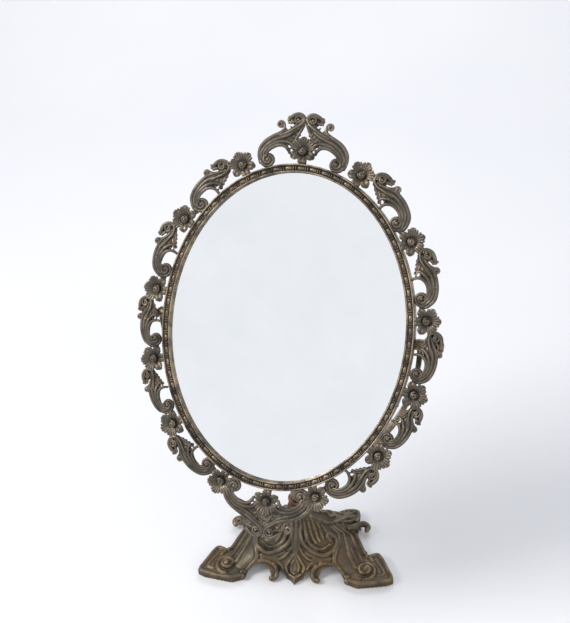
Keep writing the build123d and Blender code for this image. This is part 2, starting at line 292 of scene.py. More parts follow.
def metal(name, dark, middle, worn, tints, gloss=(0.34, 0.58), metallic=0.85, wear=(0.49, 0.56),
          grain=0.5):
    """Tarnished cast metal: tarnish and painted shade darken the hollows, edges are rubbed, patchy all
    over.
    """
    material, nodes, links = new_material(name)
    shader = nodes["Principled BSDF"]
    coords = nodes.new("ShaderNodeTexCoord").outputs["Object"]
    broad = add_noise(nodes, links, coords, 28.0, 3.0)
    patch = add_noise(nodes, links, coords, 95.0, 5.0, 0.62)
    fine = add_noise(nodes, links, coords, 900.0, 4.0, 0.7)

    # Painted shade with tarnish: low pointiness (hollows and creases) pulls the colour towards the
    # near-black first colour, standing for the tarnish there and for the shade that falls there.
    relief = nodes.new("ShaderNodeNewGeometry").outputs["Pointiness"]
    tarnish_and_shade_mask = nodes.new("ShaderNodeMapRange")
    tarnish_and_shade_mask.inputs["From Min"].default_value = 0.40
    tarnish_and_shade_mask.inputs["From Max"].default_value = 0.50
    links.new(relief, tarnish_and_shade_mask.inputs["Value"])
    edge = nodes.new("ShaderNodeMapRange")
    edge.inputs["From Min"].default_value = wear[0]
    edge.inputs["From Max"].default_value = wear[1]
    links.new(relief, edge.inputs["Value"])
    rubbed = nodes.new("ShaderNodeMath")
    rubbed.operation = "MULTIPLY"
    links.new(edge.outputs[0], rubbed.inputs[0])
    uneven = nodes.new("ShaderNodeMapRange")
    uneven.inputs["From Min"].default_value = 0.36
    uneven.inputs["From Max"].default_value = 0.62
    links.new(patch, uneven.inputs["Value"])
    links.new(uneven.outputs[0], rubbed.inputs[1])

    tint = nodes.new("ShaderNodeValToRGB")
    set_ramp(tint, tints)
    links.new(broad, tint.inputs[0])
    body = blend_colours(nodes, links, 0.55, middle, tint.outputs[0])
    speck = nodes.new("ShaderNodeMapRange")
    speck.inputs["From Min"].default_value = 0.30
    speck.inputs["From Max"].default_value = 0.70
    speck.inputs["To Min"].default_value = 0.78
    speck.inputs["To Max"].default_value = 1.18
    links.new(patch, speck.inputs["Value"])
    shade = nodes.new("ShaderNodeCombineColor")
    for socket in shade.inputs[:3]:
        links.new(speck.outputs[0], socket)
    body = blend_colours(nodes, links, 1.0, body, shade.outputs[0], "MULTIPLY")
    # hollows take the near-black colour: painted shade together with tarnish
    tarnish_and_shade = blend_colours(nodes, links, tarnish_and_shade_mask.outputs[0], dark, body)
    colour = blend_colours(nodes, links, rubbed.outputs[0], tarnish_and_shade, worn)
    links.new(colour, shader.inputs["Base Color"])
    shader.inputs["Metallic"].default_value = metallic

    rough = nodes.new("ShaderNodeMapRange")
    rough.inputs["To Min"].default_value = gloss[1]
    rough.inputs["To Max"].default_value = gloss[0]
    rough.inputs["From Min"].default_value = 0.3
    rough.inputs["From Max"].default_value = 0.75
    links.new(patch, rough.inputs["Value"])
    links.new(rough.outputs[0], shader.inputs["Roughness"])
    bump = nodes.new("ShaderNodeBump")
    bump.inputs["Strength"].default_value = grain
    bump.inputs["Distance"].default_value = 0.00025
    links.new(fine, bump.inputs["Height"])
    links.new(bump.outputs[0], shader.inputs["Normal"])
    return material


BRASS_TINTS = [(0.30, (0.056, 0.050, 0.043)), (0.46, (0.087, 0.077, 0.063)),
               (0.60, (0.115, 0.090, 0.066)), (0.74, (0.130, 0.100, 0.064))]
# The first colour of each metal is the near-black painted shade, with tarnish, that fills its hollows.
BRASS = metal("antique_brass", (0.007, 0.006, 0.006), (0.090, 0.080, 0.067),
              (0.58, 0.45, 0.30), BRASS_TINTS, wear=(0.505, 0.60))
BASE_BRASS = metal("antique_brass_base", (0.007, 0.006, 0.005), (0.087, 0.075, 0.055),
                   (0.54, 0.37, 0.19),
                   [(0.30, (0.062, 0.056, 0.043)), (0.46, (0.100, 0.083, 0.058)),
                    (0.60, (0.147, 0.096, 0.049)), (0.74, (0.112, 0.084, 0.055))],
                   wear=(0.505, 0.60))
SMOOTH_BRASS = metal("smooth_brass", (0.030, 0.025, 0.018), (0.110, 0.090, 0.063),
                     (0.42, 0.31, 0.18), BRASS_TINTS, gloss=(0.28, 0.48), wear=(0.53, 0.66),
                     grain=0.2)
COPPER = metal("copper_brass", (0.018, 0.010, 0.008), (0.100, 0.052, 0.036),
               (0.36, 0.19, 0.12),
               [(0.3, (0.065, 0.036, 0.028)), (0.6, (0.125, 0.062, 0.042))], gloss=(0.3, 0.5),
               wear=(0.53, 0.66))
STEEL = metal("dulled_steel", (0.10, 0.095, 0.09), (0.34, 0.33, 0.31), (0.55, 0.53, 0.50),
              [(0.3, (0.27, 0.25, 0.23)), (0.7, (0.40, 0.38, 0.35))], gloss=(0.3, 0.5),
              wear=(0.53, 0.66))
LACQUER = metal("lacquered_sheet", (0.03, 0.028, 0.026), (0.085, 0.078, 0.070),
                (0.20, 0.18, 0.15),
                [(0.3, (0.060, 0.055, 0.050)), (0.7, (0.115, 0.100, 0.085))],
                gloss=(0.38, 0.6), metallic=0.4, wear=(0.53, 0.66), grain=0.3)


def silvered_glass():
    """Old silvered glass: nearly perfect, with a breath of haze."""
    material, nodes, links = new_material("silvered_glass")
    shader = nodes["Principled BSDF"]
    coords = nodes.new("ShaderNodeTexCoord").outputs["Object"]
    haze = add_noise(nodes, links, coords, 22.0, 4.0)
    tone = nodes.new("ShaderNodeValToRGB")
    set_ramp(tone, [(0.35, (0.90, 0.925, 0.93)), (0.65, (0.95, 0.965, 0.97))])
    links.new(haze, tone.inputs[0])
    links.new(tone.outputs[0], shader.inputs["Base Color"])
    blur = nodes.new("ShaderNodeMapRange")
    blur.inputs["To Min"].default_value = 0.008
    blur.inputs["To Max"].default_value = 0.03
    links.new(haze, blur.inputs["Value"])
    links.new(blur.outputs[0], shader.inputs["Roughness"])
    shader.inputs["Metallic"].default_value = 1.0
    return material


def pulp_board():
    material, nodes, links = new_material("pulp_board")
    shader = nodes["Principled BSDF"]
    coords = nodes.new("ShaderNodeTexCoord").outputs["Object"]
    fibre = add_noise(nodes, links, coords, 700.0, 6.0, 0.7)
    tone = nodes.new("ShaderNodeValToRGB")
    set_ramp(tone, [(0.35, (0.24, 0.19, 0.14)), (0.65, (0.40, 0.33, 0.25))])
    links.new(fibre, tone.inputs[0])
    links.new(tone.outputs[0], shader.inputs["Base Color"])
    shader.inputs["Roughness"].default_value = 0.9
    return material


GLASS = silvered_glass()
BOARD = pulp_board()


# ---------------------------------------------------------------- flowers
def flower_mesh():
    """Six petals round a curled bud. Local y points away from the rim, z to the viewer."""
    casting = Casting()
    casting.ball((0, 0, 7.6), (5.4, 5.4, 1.3))
    casting.stroke([(0, -2, 7.2, 3.2), (0, -6, 7.2, 3.4), (0, -9.2, 7.0, 3.6)], flat=0.5)
    for number in range(6):
        turn = 90 + 60 * number
        fringed = number in (0, 1, 5)

        def spoke(spread, rows):
            angle = radians(turn + spread)
            return [(r * cos(angle) - s * sin(angle), r * sin(angle) + s * cos(angle), z, w)
                    for r, s, z, w in rows]

        casting.stroke(spoke(0, [(3.4, 0, 7.6, 1.6), (5.8, 0, 8.2, 3.1), (8.0, 0, 8.8, 3.5),
                                 (9.4, 0, 9.0, 2.4)]), flat=0.34)
        if fringed:
            for spread in (-21, -7, 7, 21):
                reach = 10.3 if abs(spread) < 10 else 9.5
                casting.stroke(spoke(spread, [(3.5, 0, 8.3, 0.7), (6.5, 0, 9.4, 1.15),
                                              (reach, 0, 10.2, 1.2)]), flat=0.9)
        else:
            for lobe in (-1, 1):
                casting.stroke(spoke(0, [(3.4, 0.5 * lobe, 8.2, 0.9), (6.0, 1.5 * lobe, 9.5, 2.0),
                                         (8.6, 1.6 * lobe, 10.3, 2.1),
                                         (9.9, 1.2 * lobe, 10.2, 1.3)]), flat=0.55)
    curl = spiral((0, 0), 200, 1.25, 2.7, 0.7, 10.6, 1.05, 0.8, 1.6)
    casting.stroke(curl, steps=0)
    casting.ball((0, 0, 9.2), (2.0, 2.0, 2.2))
    return casting.fuse("flower", 0.33, 1)


def oval_turn(angle):
    """Outward direction of the wreath's oval at a parametric angle, in radians."""
    return np.arctan2(FLOWER_OVAL[0] * sin(radians(angle)), FLOWER_OVAL[1] * cos(radians(angle)))


def flower_spot(angle):
    return FLOWER_OVAL[0] * cos(radians(angle)), FLOWER_OVAL[1] * sin(radians(angle))


def hang_flowers():
    """All fourteen flowers of the wreath, each turned a little its own way."""
    mesh = flower_mesh()
    for side_name, side in SIDES:
        for number, angle in enumerate(FLOWER_ANGLES, start=1):
            u, v = flower_spot(angle)
            spot = Matrix.Translation((u, v, 0)) @ Matrix.Rotation(oval_turn(angle) - pi / 2, 4, "Z")
            flip = Matrix.Scale(side, 4, (1, 0, 0))
            name = f"flower_{side_name}_{number}"
            place(mesh, name + "_petals", MIRROR @ flip @ spot, "mirror_frame", [name])
    for name, v, turn in (("flower_top", CREST_FLOWER_V, 0), ("flower_bottom", -CREST_FLOWER_V, pi)):
        spot = Matrix.Translation((0, v, 0)) @ Matrix.Rotation(turn, 4, "Z")
        place(mesh, name + "_petals", MIRROR @ spot, "mirror_frame", [name])
    bpy.data.meshes.remove(mesh)


# ---------------------------------------------------------------- scrolls
def scroll_mesh():
    """A side scroll lying along x: volute at the low end, shell mouth, leaf neck and head."""
    casting = Casting()
    # body under the ribs
    casting.stroke([(-19.5, -1, 8, 2.0), (-17.5, 5, 8, 3.4), (-11, 9.2, 8, 4.2), (-2, 9.6, 8, 4.9),
                    (7, 6.6, 8, 5.6), (14, 5.6, 8, 4.0), (20.5, 5.0, 8, 2.6)], flat=0.42)
    # ribs from the volute round the back and up the neck
    casting.stroke([(-21.0, -3, 8.2, 1.3), (-20.6, 3, 8.4, 1.5), (-16.4, 9.4, 8.6, 1.6),
                    (-8, 12.9, 8.8, 1.6), (1, 13.6, 8.8, 1.5), (8, 12.0, 8.8, 1.4),
                    (14, 8.4, 9.0, 1.4), (19.5, 6.0, 9.2, 1.5)])
    casting.stroke([(-18.6, -1, 9.2, 1.1), (-17.8, 3.6, 9.4, 1.3), (-13.4, 8.0, 9.6, 1.4),
                    (-6, 10.4, 9.8, 1.5), (2, 10.4, 9.9, 1.5), (9, 7.8, 9.8, 1.4),
                    (15, 4.6, 9.6, 1.3), (20.8, 3.4, 9.2, 1.1)])
    casting.stroke([(-16.6, 0.4, 9.8, 0.8), (-14.6, 4.2, 10.2, 1.1), (-10, 7.2, 10.6, 1.3),
                    (-3.6, 8.0, 10.8, 1.4), (2.6, 6.4, 10.9, 1.4), (7.4, 2.6, 10.4, 1.3),
                    (8.6, -0.8, 9.6, 1.0)])
    # rolled lip of the shell mouth, down to the rim
    casting.stroke([(-14.4, 1.6, 10.2, 0.7), (-11.6, 4.4, 10.8, 1.0), (-6.6, 5.8, 11.2, 1.2),
                    (-1.4, 5.0, 11.4, 1.3), (2.4, 1.8, 11.3, 1.35), (3.4, -2.2, 10.6, 1.3),
                    (2.6, -5.4, 9.2, 1.2)])
    for start, end in (((-4.6, 6.6), (-3.4, 9.6)), ((-0.6, 6.0), (1.6, 9.6)), ((2.4, 4.4), (6.0, 8.0)),
                       ((4.6, 1.6), (9.6, 5.0)), ((5.4, -1.6), (12.0, 2.6))):
        casting.stroke([(*start, 10.4, 0.75), (*end, 9.8, 0.6)], flat=0.9)
    # toothed leaf along the belly, towards the rim
    for x, y, reach in ((7.4, -2.2, 1.5), (10.6, -0.8, 1.5), (13.8, 0.2, 1.4), (16.8, 1.2, 1.2)):
        casting.stroke([(x + 2.6, y + 3.6, 8.8, 1.3), (x, y, 8.6, reach * 0.8)], flat=0.7)
    casting.stroke([(22.6, 5.6, 8.8, 1.6), (17.4, 2.4, 8.8, 1.2), (11, 0.2, 8.8, 1.0),
                    (6.4, -2.0, 8.6, 0.8)])
    # midrib of the leaf up the neck
    casting.stroke([(3.6, 8.6, 10.4, 0.6), (10.6, 6.6, 10.8, 1.0), (17, 4.4, 10.8, 1.1),
                    (22.6, 5.2, 10.4, 1.2), (24.2, 9.0, 10.2, 1.1)])
    # head: outer roll, inner curl, eye and toothed tip
    casting.ball((18.9, 10.6, 8.0), (4.6, 4.8, 1.9))
    casting.stroke([(20.6, 3.4, 9.0, 1.3), (23.9, 6.8, 9.6, 1.4), (24.2, 11.0, 10, 1.4),
                    (21.2, 14.6, 10, 1.5), (17.0, 15.6, 9.8, 1.7), (13.8, 15.6, 9.2, 1.5)])
    casting.stroke(spiral((19.2, 10.3), -20, 1.05, 3.5, 1.7, 10.2, 0.9, 0.7, 0.6), steps=0)
    casting.ball((19.0, 10.4, 10.4), (1.15, 1.15, 1.2))
    casting.stroke([(16.4, 11.4, 9.0, 1.2), (13.6, 13.2, 8.8, 1.4), (11.9, 14.9, 8.4, 0.9)])
    for x, y in ((12.8, 17.2), (11.8, 15.6), (12.0, 13.6)):
        casting.ball((x, y, 8.8), (1.15, 1.15, 1.3))
    # small curl on the back
    casting.stroke([(10.2, 11.0, 8.6, 1.2), (8.9, 13.2, 8.8, 1.0), (8.3, 15.0, 9.0, 0.95)])
    casting.stroke(spiral((5.7, 15.3), 0, 1.15, 2.6, 0.9, 9.0, 0.95, 0.8, 0.5), steps=0)
    casting.ball((5.7, 15.3, 8.2), (2.4, 2.4, 1.2))
    # volute
    casting.ball((-14.0, -1.0, 7.9), (5.8, 5.8, 2.0))
    casting.stroke(spiral((-14.0, -0.8), 178, 1.55, 6.0, 1.9, 8.6, 1.45, 1.0, 2.0), steps=0)
    casting.ball((-13.8, -0.8, 10.2), (1.6, 1.6, 1.7))
    return casting.fuse("scroll", 0.36, 1)


def crest_mesh():
    """The top left crest scroll about the centre of its volute, head up and to the right."""
    casting = Casting()
    casting.stroke([(-6.4, 1, 8, 2.4), (-5.4, 8, 8, 4.0), (0.6, 14.0, 8, 5.2), (9, 17.4, 8, 5.8),
                    (16, 19.6, 8, 4.8), (21.4, 24.4, 8, 3.4), (25.6, 29.4, 8, 2.6)], flat=0.4)
    casting.stroke([(-6.4, -3, 8.2, 1.3), (-8.0, 3, 8.4, 1.6), (-7.2, 9.6, 8.6, 1.7),
                    (-2.6, 15.6, 8.8, 1.7), (3.6, 19.8, 8.8, 1.7), (8.4, 22.4, 8.8, 1.6),
                    (11.2, 25.4, 9.0, 1.4), (11.4, 28.4, 9.2, 1.2)])
    casting.stroke([(-5.4, 0, 9.2, 1.2), (-5.8, 5, 9.5, 1.5), (-2.6, 10.6, 9.8, 1.6),
                    (3.4, 15.6, 10.0, 1.7), (10.4, 18.6, 10.2, 1.6), (16.8, 21.6, 10.0, 1.5),
                    (22, 26, 9.6, 1.4), (26.4, 29.6, 9.4, 1.2)])
    casting.stroke([(-3.4, 1.6, 9.8, 0.9), (-3.2, 5.6, 10.2, 1.2), (0.6, 10.2, 10.8, 1.5),
                    (6.4, 14.0, 11.0, 1.6), (12.6, 15.4, 11.0, 1.6), (18.4, 14.4, 10.6, 1.4),
                    (21.4, 10.4, 9.8, 1.1)])
    casting.stroke([(-1.2, 2.4, 10.2, 0.8), (-0.4, 6.0, 10.8, 1.1), (3.4, 9.8, 11.2, 1.4),
                    (8.8, 12.2, 11.4, 1.5), (13.8, 11.8, 11.4, 1.5), (17.0, 9.0, 11.0, 1.5),
                    (18.0, 6.8, 10.0, 1.3)])
    for start, end in (((4.4, 11.6), (2.6, 15.6)), ((8.4, 13.4), (8.0, 17.8)),
                       ((12.6, 13.6), (13.4, 18.4)), ((15.6, 12.2), (18.4, 17.2)),
                       ((17.8, 9.6), (22.2, 14.0))):
        casting.stroke([(*start, 10.6, 0.85), (*end, 9.8, 0.65)], flat=0.9)
    # leaf over the shell, its teeth on the inner side
    for x, y in ((21.6, 11.6), (22.6, 15.2), (23.8, 18.4), (24.6, 21.6)):
        casting.stroke([(x - 3.8, y + 2.2, 8.8, 1.5), (x, y, 8.6, 1.3)], flat=0.7)
    casting.stroke([(27.4, 30.0, 8.8, 1.5), (25.4, 25, 8.8, 1.3), (22.8, 20, 8.8, 1.1),
                    (20.6, 14.6, 8.6, 0.9)])
    casting.stroke([(8.6, 20.4, 10.2, 0.7), (15.4, 23.4, 10.8, 1.1), (21, 27, 10.9, 1.2),
                    (25.6, 30.4, 10.6, 1.3), (27.8, 34.2, 10.4, 1.2)])
    casting.stroke([(6.4, 20.4, 9.4, 0.9), (12.8, 22.8, 9.8, 1.3), (18.0, 26.0, 9.8, 1.3),
                    (22.0, 30.0, 9.6, 1.2)])
    for x, y in ((14.4, 24.6), (17.6, 27.2)):
        casting.stroke([(x + 1, y - 2, 8.8, 1.2), (x - 1.2, y + 1.2, 8.8, 0.7)], flat=0.8)
    # head
    casting.ball((22.2, 33.6, 8.0), (5.4, 5.2, 2.0))
    casting.stroke([(25.6, 28.4, 9.0, 1.5), (27.9, 32.4, 9.6, 1.5), (27.0, 36.6, 10, 1.5),
                    (23.0, 38.5, 10, 1.5), (18.6, 37.0, 9.8, 1.7), (15.4, 34.6, 9.2, 1.6)])
    casting.stroke(spiral((22.8, 33.6), -30, 1.05, 3.9, 1.9, 10.2, 0.95, 0.75, 0.6), steps=0)
    casting.ball((22.7, 33.7, 10.6), (1.3, 1.3, 1.3))
    casting.stroke([(19.4, 32.2, 9.0, 1.3), (16.4, 31.4, 8.8, 1.4), (14.8, 32.4, 8.6, 1.1)])
    for x, y in ((14.6, 35.6), (14.0, 33.6), (14.8, 31.2)):
        casting.ball((x, y, 8.8), (1.2, 1.2, 1.3))
    # small curl
    casting.stroke(spiral((8.0, 29.2), -10, 1.2, 3.4, 1.2, 9.0, 1.1, 0.95, 0.6), steps=0)
    casting.ball((8.0, 29.2, 8.2), (2.9, 2.9, 1.2))
    # volute
    casting.ball((0, -0.2, 7.9), (6.0, 6.0, 2.0))
    casting.stroke(spiral((0, 0), 200, 1.6, 6.1, 2.0, 8.6, 1.5, 1.05, 2.2), steps=0)
    casting.ball((0.2, 0, 10.4), (1.7, 1.7, 1.8))
    return casting.fuse("crest", 0.4, 1)


def hang_scrolls():
    """Side scrolls between the flowers, and the four crest scrolls."""
    mesh = scroll_mesh()
    flip = Matrix.Scale(-1, 4, (1, 0, 0))
    for number in range(1, len(FLOWER_ANGLES)):
        upper = Vector(flower_spot(FLOWER_ANGLES[number - 1]))
        lower = Vector(flower_spot(FLOWER_ANGLES[number]))
        upper.x, lower.x = -upper.x, -lower.x
        middle = (upper + lower) / 2
        along = upper - lower
        heading = np.arctan2(along.y, along.x)
        size = along.length / SCROLL_SPAN
        stretch = Matrix.Diagonal((size, size, 1, 1))
        spot = Matrix.Translation((*middle, 0)) @ Matrix.Rotation(heading, 4, "Z") @ stretch
        for side_name, mirrored in (("left", Matrix.Identity(4)), ("right", flip)):
            name = f"scroll_{side_name}_{number}"
            place(mesh, name + "_relief", MIRROR @ mirrored @ spot, "mirror_frame", [name])
    crest = crest_mesh()
    angle = radians(104.8)
    spot = Matrix.Translation(((RIM[0] + 6) * cos(angle), (RIM[1] + 6) * sin(angle), 0))
    half_turn = Matrix.Rotation(pi, 4, "Z")
    for name, turned in (("crest_top_left", spot), ("crest_top_right", flip @ spot),
                         ("crest_bottom_right", half_turn @ spot),
                         ("crest_bottom_left", flip @ half_turn @ spot)):
        place(crest, name + "_relief", MIRROR @ turned, "mirror_frame", [name])
    bpy.data.meshes.remove(mesh)
    bpy.data.meshes.remove(crest)


# ---------------------------------------------------------------- rim
def rim_piece():
    """Oval band swept round the glass with a bead and two reels, again and again."""
    profile = [(1.2, 7.05), (0.2, 7.6), (0.0, 8.6), (0.1, 9.8), (0.5, 10.7), (1.0, 11.1), (1.5, 10.9),
               (1.8, 10.2), (2.2, 9.9), (3.7, 9.7), (5.2, 9.9), (5.6, 10.3), (5.9, 11.2), (6.4, 11.7),
               (6.9, 11.5), (7.25, 10.8), (7.3, 9.8), (7.3, 0.4), (6.9, 0.0), (3.0, 0.0), (2.6, 0.4),
               (2.6, 7.02)]
    casting = Casting()
    turns = 720
    points, faces = [], []
    for step in range(turns):
        angle = 2 * pi * step / turns
        c, s = cos(angle), sin(angle)
        for out, height in profile:
            points.append(((SIGHT[0] + out) * c, (SIGHT[1] + out) * s, height))
    rows = len(profile)
    for step in range(turns):
        here, there = step * rows, ((step + 1) % turns) * rows
        for k in range(rows):
            n = (k + 1) % rows
            faces.append((here + k, there + k, there + n, here + n))
    casting.add(np.array(points), faces)
    line = (SIGHT[0] + 3.7, SIGHT[1] + 3.7)
    fine = np.linspace(0, 2 * pi, 7201)
    places = np.column_stack((line[0] * np.cos(fine), line[1] * np.sin(fine)))
    travelled = np.concatenate(([0], np.cumsum(np.linalg.norm(np.diff(places, axis=0), axis=1))))
    units = 72
    pitch = travelled[-1] / units

    def on_line(distance):
        angle = np.interp(distance % travelled[-1], travelled, fine)
        spot = (line[0] * cos(angle), line[1] * sin(angle))
        facing = np.arctan2(line[0] * sin(angle), line[1] * cos(angle))
        return spot, facing

    def bead(distance, half_out, half_along, height):
        """One closed egg-shaped bead, its long or short way across the band."""
        (x, y), facing = on_line(distance)
        part = Casting()
        part.ball((0, 0, 0), (half_out, half_along, height), rings=8, segments=14)
        turn = np.array(((cos(facing), -sin(facing)), (sin(facing), cos(facing))))
        shell = part.points[0].copy()
        shell[:, :2] = shell[:, :2] @ turn.T + (x, y)
        shell[:, 2] += 9.9
        casting.add(shell, part.faces)

    for unit in range(units):
        start = unit * pitch
        bead(start, 1.5, 2.9, 1.0)
        for reel in (-0.85, 0.85):
            bead(start + pitch / 2 + reel, 1.85, 0.6, 1.9)
    mesh = bpy.data.meshes.new("rim")
    mesh.from_pydata([tuple(p) for p in np.vstack(casting.points)], [], casting.faces)
    mesh.update()
    bm = bmesh.new()
    bm.from_mesh(mesh)
    bmesh.ops.recalc_face_normals(bm, faces=bm.faces)
    bm.to_mesh(mesh)
    bm.free()
    return mesh


def build_rim():
    mesh = rim_piece()
    boss = Casting()
    for _, side in SIDES:
        boss.stroke([(side * 104.2, 0, 0, 4.6), (side * 107.9, 0, 0, 4.4)], steps=0, ring=24)
    bosses = boss.fuse("bosses", 0.5, 2)
    place(mesh, "rim_bead_and_reel", MIRROR, "mirror_frame", ["frame_rim"])
    place(bosses, "rim_bosses", MIRROR, "mirror_frame")
    bpy.data.meshes.remove(mesh)
    bpy.data.meshes.remove(bosses)


# ---------------------------------------------------------------- base
BASE_TOP = 52.0


def base_surface():
    """Height and outward direction of the CAD shell over any point of the table."""
    node = frame["nodes"]["base_casting"].data
    tree = BVHTree.FromPolygons([(vert.co - STAND) / MM for vert in node.vertices],
                                [tuple(face.vertices) for face in node.polygons])

    def height(x, y):
        hit = tree.ray_cast(Vector((x, y, 90)), Vector((0, 0, -1)))[0]
        if hit is None:
            hit = tree.find_nearest(Vector((x, y, 12)))[0]
        return min(hit.z, BASE_TOP)

    def upward(x, y, step=1.6):
        slope_x = (height(x + step, y) - height(x - step, y)) / (2 * step)
        slope_y = (height(x, y + step) - height(x, y - step)) / (2 * step)
        slope_x, slope_y = np.clip((slope_x, slope_y), -4, 4)
        up = np.array((-slope_x, -slope_y, 1.0))
        return up / np.linalg.norm(up)

    return height, upward


def cad_solid(casting, node):
    """Add a CAD node's own closed skin to a casting, in mm."""
    bm = bmesh.new()
    bm.from_mesh(frame["nodes"][node].data)
    bmesh.ops.remove_doubles(bm, verts=bm.verts, dist=0.00001)
    bm.verts.ensure_lookup_table()
    points = np.array([tuple(vert.co - STAND) for vert in bm.verts]) / MM
    faces = [tuple(vert.index for vert in face.verts) for face in bm.faces]
    casting.add(points, faces)
    bm.free()


def base_relief():
    """The cast base: shell, C-scrolls, shell ribs, drop, leg folds and foot plates."""
    casting = Casting()
    cad_solid(casting, "base_casting")
    base_height, base_up = base_surface()

    def drape(rows, flat=0.85, lift=0.5, both=True):
        for side in (-1, 1) if both else (1,):
            path = smooth_path([(side * x, y, r) for x, y, r in rows], 6)
            points = []
            for x, y, r in path:
                spot = np.array((x, y, base_height(x, y))) + base_up(x, y) * lift
                points.append((*spot, r))
            casting.stroke(points, flat=flat, steps=0, up=base_up)

    def both_sides(rows, **shape):
        for side in (-1, 1):
            casting.stroke([(side * x, y, z, r) for x, y, z, r in rows], **shape)

    # middle rib and the ribs of the shell under the collar
    drape([(0, -11, 1.5), (0, -16, 2.0), (0, -24, 2.2), (0, -31, 1.7)], both=False)
    for rows in ([(3.6, -11, 1.0), (3.9, -16, 1.6), (3.0, -22, 1.5), (1.8, -28, 1.0)],
                 [(7.4, -10.8, 1.0), (8.6, -15, 1.5), (11.6, -20.6, 1.5), (15, -23.4, 1.0)],
                 [(10.6, -9.4, 1.0), (12.6, -14, 1.5), (16.2, -19.6, 1.4), (19, -22, 1.0)],
                 [(13.2, -7.4, 1.0), (16.6, -12.4, 1.6), (20.2, -18.6, 1.4), (22.4, -21, 0.9)],
                 [(15, -4.6, 1.1), (20.2, -10, 1.7), (24.4, -17, 1.4), (26, -19.4, 0.9)],
                 [(16.6, -1.6, 1.1), (23.4, -6.6, 1.6), (28.0, -13.4, 1.2)]):
        drape(rows)
    # C-scrolls each side of the middle, running out to volutes
    drape([(4.8, -12.5, 1.3), (3.8, -17, 1.8), (7.6, -23, 2.1), (17, -27.6, 2.3), (27, -29, 2.4),
           (34.6, -25.6, 2.4), (37.4, -18.6, 2.3), (35.2, -12.4, 2.2), (30.4, -11.4, 2.1),
           (28.4, -15.2, 1.9), (31.4, -18.0, 1.7)], lift=1.0)
    drape([(7.8, -15, 1.0), (10.6, -20.4, 1.4), (18, -24.6, 1.6), (26, -25.2, 1.5),
           (31.4, -22.0, 1.2)], lift=0.8)
    drape([(3.4, -25, 1.0), (8.0, -29.6, 1.4), (14.4, -32.4, 1.5), (20.6, -31.6, 1.0)])
    drape([(9.4, -28.2, 0.8), (16.6, -30.2, 1.1), (24, -31.6, 1.1), (33, -30.8, 1.0)])
    # drop that hangs below, stepped towards its tip
    drape([(0.6, -28.6, 1.1), (5.4, -33.4, 1.5), (8.4, -37.4, 1.6), (5, -42.4, 1.6),
           (0, -47.6, 1.5)], lift=0.8)
    drape([(0.4, -32, 0.9), (3.4, -36.2, 1.1), (2.8, -40, 1.1), (0, -43.4, 1.0)], lift=0.9)
    drape([(0, -35, 1.0), (0, -38.5, 1.4), (0, -41, 1.0)], both=False, lift=0.8)
    # leg: inner edge, folds and outer edge
    drape([(30.6, 0, 1.2), (37.8, -5, 1.9), (39.6, -15, 2.1), (37.4, -26, 2.2), (36.8, -32.6, 2.1),
           (43.6, -38.2, 2.0), (50, -43.4, 1.8)], lift=0.8)
    drape([(33, 4, 1.3), (42.4, 0.6, 1.9), (46.4, -12, 2.0), (49, -22, 2.0), (56, -33, 1.8)])
    drape([(38, 9, 1.2), (48.6, 5, 1.8), (54.6, -8, 1.9), (59.4, -20, 1.8), (66, -28, 1.5)])
    drape([(45, -2, 0.8), (50.4, -14, 1.1), (56.4, -25, 0.9)])
    drape([(42, 14, 1.2), (52, 11, 2.0), (57.6, 2, 2.2), (62, -8, 2.2), (66.4, -17, 2.0)])
    # band round the front arches with its rolled end
    drape([(47.6, -43.4, 1.6), (42, -38.2, 1.9), (34.4, -34.2, 2.0), (25.7, -34.0, 2.0),
           (19.2, -36.6, 2.1)], lift=0.8)
    both_sides([(20.0, -36.4, 12.5, 2.2), (17.2, -39.8, 9.6, 2.3), (16.6, -43.2, 6.4, 2.3),
                (18.6, -45.8, 3.8, 2.4), (21.6, -46.4, 3.4, 2.3)])
    for side in (-1, 1):
        casting.ball((side * 21.2, -46.2, 3.6), (3.0, 2.6, 3.0))
        casting.ball((side * 48.6, -46.2, 4.6), (2.8, 2.6, 3.4))
    drape([(11.6, -38.0, 1.0), (14.6, -35.2, 1.3), (21.6, -32.4, 1.2), (32, -31.8, 1.1)])
    # sides: a curl that stands off each flank, edges and panels
    both_sides([(48, 8, 18, 2.4), (53, 15, 13, 2.9), (57.6, 21.4, 9.4, 3.1),
                (62.4, 24.6, 7.4, 3.1), (66, 22.0, 6.2, 2.9), (64.8, 18.2, 5.6, 2.5)])
    drape([(12, -6, 1.4), (20, -1, 1.8), (29, 4, 1.8), (38, 16, 1.8), (46, 31, 1.6)], lift=0.7)
    drape([(34, 9, 1.1), (45, 10.6, 1.6), (52, 16, 1.5)])
    drape([(55, 36, 1.4), (50.4, 28, 1.8), (44, 20, 1.7), (34, 12, 1.4)])
    # back: scrolls mirrored about the middle, edge rolls and ribs
    drape([(44, 38, 1.4), (36, 31.6, 1.9), (27, 30.6, 2.0), (18, 33.6, 1.9), (14.4, 38, 1.6)],
          lift=0.8)
    drape([(5.4, 12, 1.3), (6.4, 18, 1.8), (13, 25, 2.0), (25, 26.6, 2.1), (32.4, 21.4, 2.0),
           (29.6, 15.4, 1.8), (24.4, 17.6, 1.5)], lift=0.8)
    for rows in ([(8.0, 11, 1.0), (9.4, 16, 1.5), (13.4, 21, 1.3)],
                 [(11.6, 9, 1.0), (14.4, 14, 1.6), (18.2, 19.6, 1.3)],
                 [(14.4, 6, 1.1), (18.6, 10.4, 1.6), (22.8, 15, 1.3)]):
        drape(rows)
    drape([(0, 11, 1.4), (0, 20, 2.0), (0, 30, 2.0), (0, 38, 1.4)], both=False)
